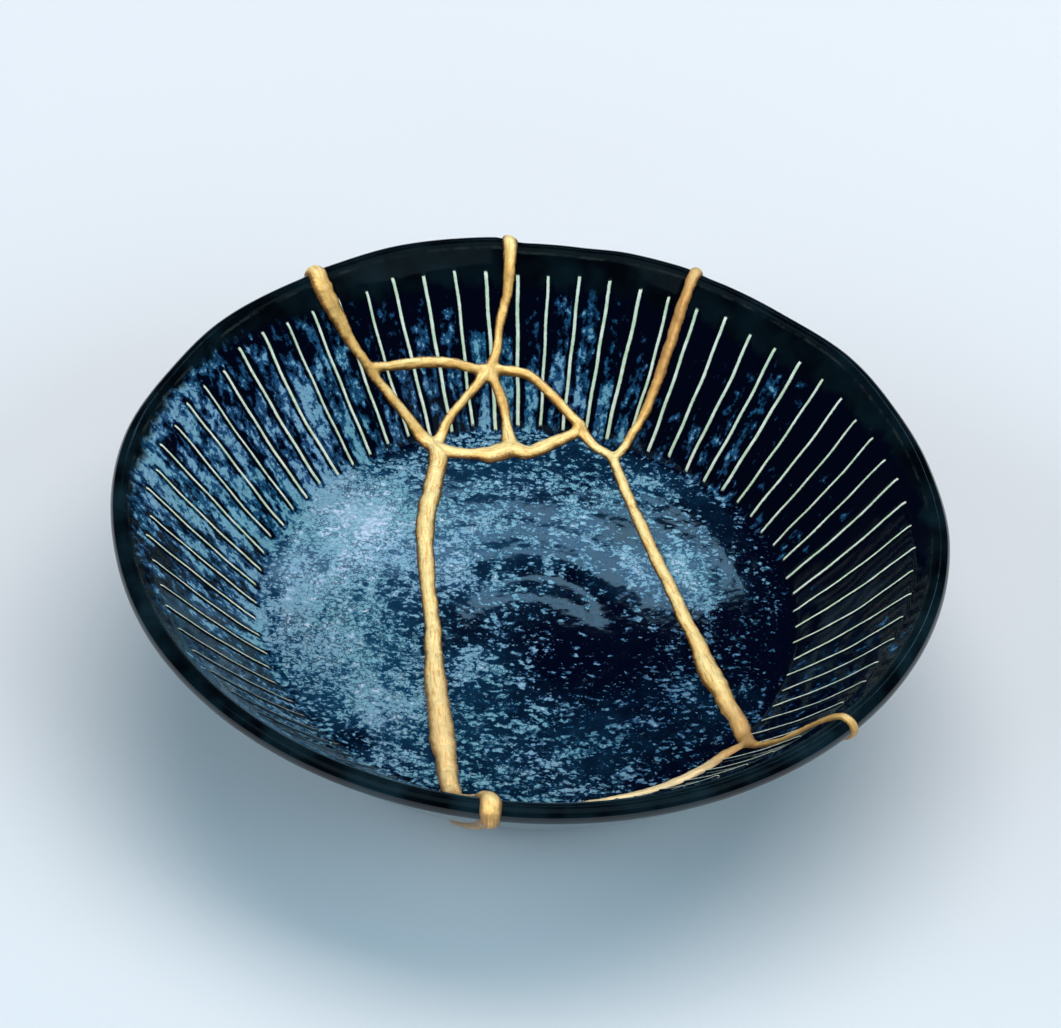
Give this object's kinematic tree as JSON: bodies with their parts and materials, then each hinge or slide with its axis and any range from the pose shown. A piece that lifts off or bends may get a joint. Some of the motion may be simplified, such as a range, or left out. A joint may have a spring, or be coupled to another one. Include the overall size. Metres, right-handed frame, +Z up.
{
  "type": "kintsugi bowl",
  "caption": "Shallow flared glazed bowl with raised pale stripes down its inner wall and a foot ring, broken and rejoined with a raised gold lacquer seam.",
  "frame": {"origin": "on the ground under the middle of the rim", "axes": "+Z up out of the bowl; +Y towards the back, where the small chips are; +X to the right, seen from the front"},
  "size_m": [0.18, 0.1819, 0.0445],
  "materials": {
    "navy_glaze": "gloss",
    "gold_lacquer": "satin"
  },
  "bodies": {
    "root": {"shard_left": "navy_glaze", "shard_back_left": "navy_glaze", "shard_back_right": "navy_glaze", "shard_right": "navy_glaze", "shard_front_right": "navy_glaze", "shard_floor": "navy_glaze", "chip_upper": "navy_glaze", "chip_lower_left": "navy_glaze", "chip_lower_right": "navy_glaze", "gold_seam": "gold_lacquer"}
  },
  "joints": []
}
